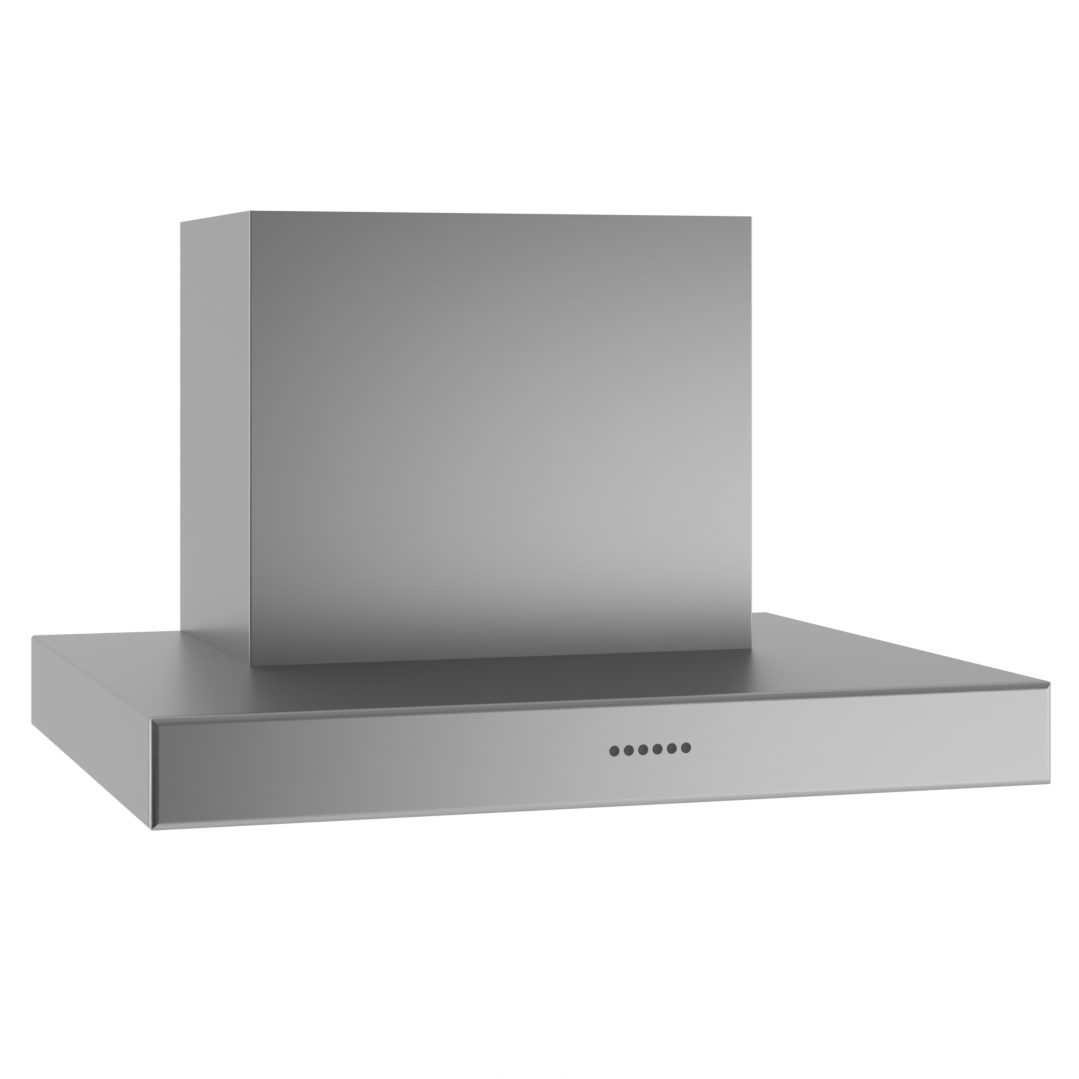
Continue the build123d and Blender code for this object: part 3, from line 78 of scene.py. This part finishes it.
def brushed_sheet(name, shade, light_shade, rough, spread, along, length, width, stretch=0.0, edge=1.0):
    """Stainless sheet, belt brushed: soft highlights broken by fine scratches along one way.

    Scratches run along X or Y as named, and along Y on faces that look sideways. The real ones are about
    0.1 mm wide; they are drawn at the given length and width, in millimetres, so that they show. stretch
    draws highlights out across the scratches. edge dims what is reflected at a glancing angle.
    """
    made, tree, output = start_material(name)
    place = add_node(tree, "ShaderNodeTexCoord")
    fine, slow = 1 / (width * MM), 1 / (length * MM)
    lengthways = (slow, fine, fine) if along == "x" else (fine, slow, fine)
    faces = add_node(tree, "ShaderNodeMapping", {"Vector": place.outputs["Object"], "Scale": lengthways})
    sides = add_node(tree, "ShaderNodeMapping",
                     {"Vector": place.outputs["Object"], "Scale": (fine, slow, fine)})
    facing = add_node(tree, "ShaderNodeSeparateXYZ", {"Vector": place.outputs["Normal"]})
    not_sideways = add_node(tree, "ShaderNodeMath", {0: facing.outputs["X"], 1: 0.0, 2: 0.7},
                            operation="COMPARE")
    chosen = add_node(tree, "ShaderNodeMix",
                      {"Factor": not_sideways.outputs[0], 4: sides.outputs[0], 5: faces.outputs[0]},
                      data_type="VECTOR")
    scratch = add_node(tree, "ShaderNodeTexNoise",
                       {"Vector": chosen.outputs[1], "Scale": 1.0, "Detail": 3.0, "Roughness": 0.6})
    tone = add_node(tree, "ShaderNodeValToRGB", {"Fac": scratch.outputs["Fac"]})
    set_ramp(tone, [(0.3, linear(shade)), (0.7, linear(light_shade))])
    polish = add_node(tree, "ShaderNodeMapRange",
                      {"Value": scratch.outputs["Fac"], "To Min": rough - spread, "To Max": rough + spread})
    dent = add_node(tree, "ShaderNodeBump",
                    {"Height": scratch.outputs["Fac"], "Strength": 0.04, "Distance": 0.05 * MM})
    across = add_node(tree, "ShaderNodeTangent", direction_type="RADIAL", axis=along.upper())
    steel = add_node(tree, "ShaderNodeBsdfPrincipled",
                     {"Base Color": tone.outputs["Color"], "Metallic": 1.0, "Anisotropic": stretch,
                      "Specular Tint": grey(edge),
                      "Roughness": polish.outputs["Result"], "Normal": dent.outputs["Normal"],
                      "Tangent": across.outputs[0]})
    tree.links.new(steel.outputs[0], output.inputs["Surface"])
    return made


def speckled(name, shade, light_shade, rough, spread, grain, metallic=0.0, dent=0.1, coat=0.0, cells=False):
    """A finish whose colour, gloss and surface vary in grains of one size, in millimetres."""
    made, tree, output = start_material(name)
    place = add_node(tree, "ShaderNodeTexCoord")
    if cells:
        pattern = add_node(tree, "ShaderNodeTexVoronoi",
                           {"Vector": place.outputs["Object"], "Scale": 1 / (grain * MM)})
        value = add_node(tree, "ShaderNodeSeparateColor", {"Color": pattern.outputs["Color"]}).outputs[0]
    else:
        pattern = add_node(tree, "ShaderNodeTexNoise",
                           {"Vector": place.outputs["Object"], "Scale": 1 / (grain * MM), "Detail": 3.0})
        value = pattern.outputs["Fac"]
    tone = add_node(tree, "ShaderNodeValToRGB", {"Fac": value})
    set_ramp(tone, [(0.25, linear(shade)), (0.75, linear(light_shade))])
    polish = add_node(tree, "ShaderNodeMapRange",
                      {"Value": value, "To Min": rough - spread, "To Max": rough + spread})
    relief = add_node(tree, "ShaderNodeBump",
                      {"Height": value, "Strength": dent, "Distance": 0.1 * MM})
    surface = add_node(tree, "ShaderNodeBsdfPrincipled",
                       {"Base Color": tone.outputs["Color"], "Metallic": metallic, "Coat Weight": coat,
                        "Roughness": polish.outputs["Result"], "Normal": relief.outputs["Normal"]})
    tree.links.new(surface.outputs[0], output.inputs["Surface"])
    return made


def frosted_glass(name, grain):
    """Lens glass, opal and acid frosted: a milky disc that blurs the lamp board behind it."""
    made, tree, output = start_material(name)
    place = add_node(tree, "ShaderNodeTexCoord")
    frost = add_node(tree, "ShaderNodeTexNoise",
                     {"Vector": place.outputs["Object"], "Scale": 1 / (grain * MM), "Detail": 2.0})
    polish = add_node(tree, "ShaderNodeMapRange",
                      {"Value": frost.outputs["Fac"], "To Min": 0.30, "To Max": 0.42})
    relief = add_node(tree, "ShaderNodeBump",
                      {"Height": frost.outputs["Fac"], "Strength": 0.1, "Distance": 0.05 * MM})
    glass = add_node(tree, "ShaderNodeBsdfPrincipled",
                     {"Base Color": linear("#f4f6f6"), "Transmission Weight": 0.5, "IOR": 1.5,
                      "Roughness": polish.outputs["Result"], "Normal": relief.outputs["Normal"]})
    tree.links.new(glass.outputs[0], output.inputs["Surface"])
    return made


# What the outer sheets share: one grey, long fine scratches, dimmer at a glancing angle
outer_sheet = {"shade": "#b1b1b1", "light_shade": "#b7b7b7", "spread": 0.02,
               "length": 60, "width": 0.5, "edge": 0.65}
# The duct cover and back panel, satin brushed: a grey mirror-like blur
outer_steel = brushed_sheet("satin_stainless_sheet", rough=0.29, along="x", **outer_sheet)
# The front panel, brushed from end to end: reflections stretch up and down, across the scratches
front_steel = brushed_sheet("long_brushed_stainless_sheet", rough=0.32, along="x", stretch=0.6, **outer_sheet)
# The canopy shell, brushed from front to back: reflections on its top stretch sideways
shell_steel = brushed_sheet("cross_brushed_stainless_sheet", rough=0.33, along="y", stretch=0.65,
                            **outer_sheet)
# The sheet inside the canopy, brushed across, a little paler
liner_steel = brushed_sheet("liner_stainless_sheet", "#bcbcbc", "#c8c8c8", rough=0.33, spread=0.04,
                            along="x", length=40, width=0.6)
# Filter steel, brushed along the channels, a little duller
filter_steel = brushed_sheet("filter_stainless_channel", "#b4b4b3", "#c4c4c3", rough=0.30, spread=0.05,
                             along="y", length=30, width=0.7)
# Drawn wire and spring strip: bright with faint draw marks
wire_steel = speckled("drawn_spring_steel", "#bdbdbe", "#cfcfd0", rough=0.20, spread=0.05, grain=1.5,
                      metallic=1.0, dent=0.03)
# Hot-dip zinc: pale spangle cells of differing gloss
galvanised = speckled("galvanised_sheet", "#aeb2b5", "#c0c4c7", rough=0.42, spread=0.08, grain=7.0,
                      metallic=1.0, dent=0.02, cells=True)
# Pressed and cast aluminium: pale and matt
aluminium = speckled("bare_aluminium", "#c2c3c5", "#d2d3d5", rough=0.42, spread=0.06, grain=1.2,
                     metallic=1.0, dent=0.05)
# Polished steel: sharp highlights with faint wiping haze
polished = speckled("polished_steel", "#c8c8ca", "#d4d4d6", rough=0.14, spread=0.04, grain=14.0,
                    metallic=1.0, dent=0.01)
# Black stoving enamel on the motor: semi-gloss with a slight orange peel
enamel = speckled("black_stoved_enamel", "#1b1b1d", "#242427", rough=0.34, spread=0.05, grain=2.0,
                  dent=0.12, coat=0.3)
# Moulded ABS buttons: charcoal with a spark-eroded satin grain
button_abs = speckled("charcoal_moulded_abs", "#3a3a3a", "#454545", rough=0.46, spread=0.05, grain=0.4,
                      dent=0.10)
# Glass-filled nylon housings: near black and matt
nylon = speckled("black_moulded_nylon", "#1d1d1e", "#29292a", rough=0.55, spread=0.06, grain=0.5, dent=0.12)
# Fibreglass board under green solder mask: mottled and slightly glossy
board = speckled("green_circuit_board", "#0f4a2a", "#1d6a3d", rough=0.35, spread=0.08, grain=3.0,
                 dent=0.08, cells=True)
# Aluminium-backed lamp board under white solder mask: matt white with a faint mottle
lamp_board = speckled("white_lamp_board", "#dcdcd8", "#e8e8e4", rough=0.42, spread=0.05, grain=3.0, dent=0.05)
# Nitrile rubber: dull black
rubber = speckled("black_nitrile_rubber", "#161616", "#202020", rough=0.72, spread=0.06, grain=0.8, dent=0.15)

finishes = {
    "outer_steel": outer_steel,
    "liner_steel": liner_steel,
    "filter_steel": filter_steel,
    "wire_steel": wire_steel,
    "galvanised_steel": galvanised,
    "bare_aluminium": aluminium,
    "polished_steel": polished,
    "motor_enamel": enamel,
    "button_plastic": button_abs,
    "housing_plastic": nylon,
    "circuit_board": board,
    "lens_glass": frosted_glass("frosted_opal_glass", grain=0.6),
    "black_rubber": rubber,
}
for piece in frame["record"]["subparts"]:
    shown = nodes[piece["node"]]
    shown.data.materials.clear()
    shown.data.materials.append(finishes[piece["material_slot"]])
nodes["front_panel"].data.materials[0] = front_steel
nodes["canopy_shell"].data.materials[0] = shell_steel
for side in ("left", "right"):
    nodes["light_board_" + side].data.materials[0] = lamp_board


# Studio: white behind and around, a pale floor below, and cards that only reflections see
def light_path(tree):
    """1 for what the camera, a mirror or a clear piece sees, 0 for light that spreads."""
    path = add_node(tree, "ShaderNodeLightPath")
    direct = add_node(tree, "ShaderNodeMath",
                      {0: path.outputs["Is Camera Ray"], 1: path.outputs["Is Glossy Ray"]},
                      operation="MAXIMUM")
    seen = add_node(tree, "ShaderNodeMath",
                    {0: direct.outputs[0], 1: path.outputs["Is Transmission Ray"]},
                    operation="MAXIMUM")
    return seen.outputs[0]


world = bpy.data.worlds.new("white_studio")
bpy.context.scene.world = world
world.use_nodes = True
sky = world.node_tree
sky.nodes.clear()
spread_white = add_node(sky, "ShaderNodeBackground", {"Color": WHITE, "Strength": 0.6})
seen_white = add_node(sky, "ShaderNodeBackground", {"Color": WHITE, "Strength": 1.0})
both = add_node(sky, "ShaderNodeMixShader",
                {0: light_path(sky), 1: spread_white.outputs[0], 2: seen_white.outputs[0]})
add_node(sky, "ShaderNodeOutputWorld", {"Surface": both.outputs[0]})

# Floor: a pale disc under the hood
floor_radius = 1.9
floor_height = -0.8
floor_y = -0.38
floor_turns = [math.radians(degrees) for degrees in range(0, 360, 5)]
floor_points = [(floor_radius * math.cos(turn), floor_radius * math.sin(turn), 0) for turn in floor_turns]
floor_mesh = bpy.data.meshes.new("studio_floor")
floor_mesh.from_pydata(floor_points, [], [list(range(len(floor_points)))])
floor = bpy.data.objects.new("studio_floor", floor_mesh)
floor.location = (0, floor_y, floor_height)
bpy.context.collection.objects.link(floor)
pale, tree, output = start_material("pale_studio_floor")
matt = add_node(tree, "ShaderNodeBsdfDiffuse", {"Color": linear("#d9d9d9")})
glow = add_node(tree, "ShaderNodeEmission", {"Color": WHITE, "Strength": 0.3})
lit = add_node(tree, "ShaderNodeAddShader", {0: matt.outputs[0], 1: glow.outputs[0]})
paint = add_node(tree, "ShaderNodeMixShader", {0: light_path(tree), 1: matt.outputs[0], 2: lit.outputs[0]})
# Clear from below, and towards its rim, where it fades into the white around it
place = add_node(tree, "ShaderNodeTexCoord")
shrunk = add_node(tree, "ShaderNodeMapping",
                  {"Vector": place.outputs["Object"], "Scale": (1 / floor_radius,) * 3})
inwards = add_node(tree, "ShaderNodeTexGradient", {"Vector": shrunk.outputs[0]}, gradient_type="SPHERICAL")
rim = add_node(tree, "ShaderNodeMapRange",
               {"Value": inwards.outputs["Fac"], "From Max": 0.5, "To Min": 1.0, "To Max": 0.0},
               interpolation_type="SMOOTHSTEP")
under = add_node(tree, "ShaderNodeNewGeometry")
gone = add_node(tree, "ShaderNodeMath", {0: rim.outputs["Result"], 1: under.outputs["Backfacing"]},
                operation="MAXIMUM")
clear = add_node(tree, "ShaderNodeBsdfTransparent")
one_sided = add_node(tree, "ShaderNodeMixShader",
                     {0: gone.outputs[0], 1: paint.outputs[0], 2: clear.outputs[0]})
tree.links.new(one_sided.outputs[0], output.inputs["Surface"])
floor_mesh.materials.append(pale)


def standing(start, stop, low, high):
    """Corners of an upright card over the line from start to stop."""
    return [(*start, low), (*stop, low), (*stop, high), (*start, high)]


def studio_card(name, corners, axis, stops, fade=None):
    """A flat card, seen only in reflections. Its brightness changes along one of its own axes.

    stops are (share of the way, brightness). fade gives the heights, as shares of the card, between which
    it turns to a level of its own.
    """
    mesh = bpy.data.meshes.new(name)
    mesh.from_pydata(corners, [], [[0, 1, 2, 3]])
    card = bpy.data.objects.new(name, mesh)
    bpy.context.collection.objects.link(card)
    made, tree, output = start_material(name)
    place = add_node(tree, "ShaderNodeTexCoord")
    split = add_node(tree, "ShaderNodeSeparateXYZ", {"Vector": place.outputs["Generated"]})
    ramp = add_node(tree, "ShaderNodeValToRGB", {"Fac": split.outputs[axis]})
    set_ramp(ramp, [(at, grey(level)) for at, level in stops])
    colour = ramp.outputs["Color"]
    if fade:
        low, high, level = fade
        height = add_node(tree, "ShaderNodeMapRange",
                          {"Value": split.outputs["Z"], "From Min": low, "From Max": high},
                          interpolation_type="SMOOTHSTEP")
        upper = add_node(tree, "ShaderNodeMix", {0: height.outputs["Result"], 6: colour, 7: grey(level)},
                         data_type="RGBA")
        colour = upper.outputs[2]
    glow = add_node(tree, "ShaderNodeEmission", {"Color": colour, "Strength": 1.0})
    tree.links.new(glow.outputs[0], output.inputs["Surface"])
    mesh.materials.append(made)
    card.visible_camera = False
    card.visible_diffuse = False
    card.visible_shadow = False


# The room that the cards line
room_side = 6
room_front = -4.4
room_back = 3.4
room_low = -3
room_top = 3
side_card_x = 5
right_card_back = 0.5
left_back_card_front = 0.7
# A dark card, low and close by: it darkens the panel's left rounding, not the cover's corner above it
dark_card_x = -1.2
dark_card_front = -1.6
dark_card_back = -0.65
dark_card_low = -1
dark_card_top = 0.18

studio_card("front_card", standing((-room_side, room_front), (room_side, room_front), room_low, room_top),
            "X", [(0.0, 0.1), (0.515, 0.12), (0.625, 1.48), (0.75, 1.56)], fade=(0.56, 0.62, 0.2))
studio_card("right_card",
            standing((side_card_x, room_front), (side_card_x, right_card_back), room_low, room_top),
            "Y", [(0.0, 1.5), (1.0, 1.3)])
studio_card("left_back_card",
            standing((-side_card_x, left_back_card_front), (-side_card_x, room_back), room_low, room_top),
            "Y", [(0.0, 1.7), (1.0, 1.7)])
studio_card("left_card",
            standing((dark_card_x, dark_card_front), (dark_card_x, dark_card_back),
                     dark_card_low, dark_card_top),
            "Y", [(0.0, 0.03), (1.0, 0.03)])
studio_card("back_card", standing((-room_side, room_back), (room_side, room_back), floor_height, room_top),
            "Z", [(0.0, 1.02), (1.0, 0.86)])
studio_card("top_card",
            [(-room_side, room_front, room_top), (room_side, room_front, room_top),
             (room_side, room_back, room_top), (-room_side, room_back, room_top)],
            "Y", [(0.0, 0.36), (0.22, 0.4), (0.52, 0.42), (0.68, 0.9)])


def softbox(name, place, target, size, watts):
    """A square soft light aimed at a point, kept out of reflections, which the cards give."""
    lamp = bpy.data.lights.new(name, "AREA")
    lamp.size = size
    lamp.energy = watts
    box = bpy.data.objects.new(name, lamp)
    bpy.context.collection.objects.link(box)
    box.location = place
    box.rotation_euler = (Vector(target) - Vector(place)).to_track_quat("-Z", "Y").to_euler()
    box.visible_glossy = False


hood_middle = (0, -0.4, 0.2)
softbox("key_softbox", (1.8, -2.8, 2.4), hood_middle, size=2.2, watts=55)
softbox("fill_softbox", (-2.2, -1.0, 2.4), hood_middle, size=2.2, watts=18)

# Camera, level, at the photograph's place; the view is shifted down to frame the hood
camera_turn = -17.704
eye = bpy.data.cameras.new("camera")
eye.lens = 100.2
eye.sensor_width = 36.0
eye.shift_y = -0.2009
camera = bpy.data.objects.new("camera", eye)
bpy.context.collection.objects.link(camera)
camera.location = (-0.9516, -3.4756, 0.4643)
camera.rotation_euler = (math.radians(90), 0, math.radians(camera_turn))
bpy.context.scene.camera = camera
bpy.context.scene.view_settings.view_transform = "Standard"
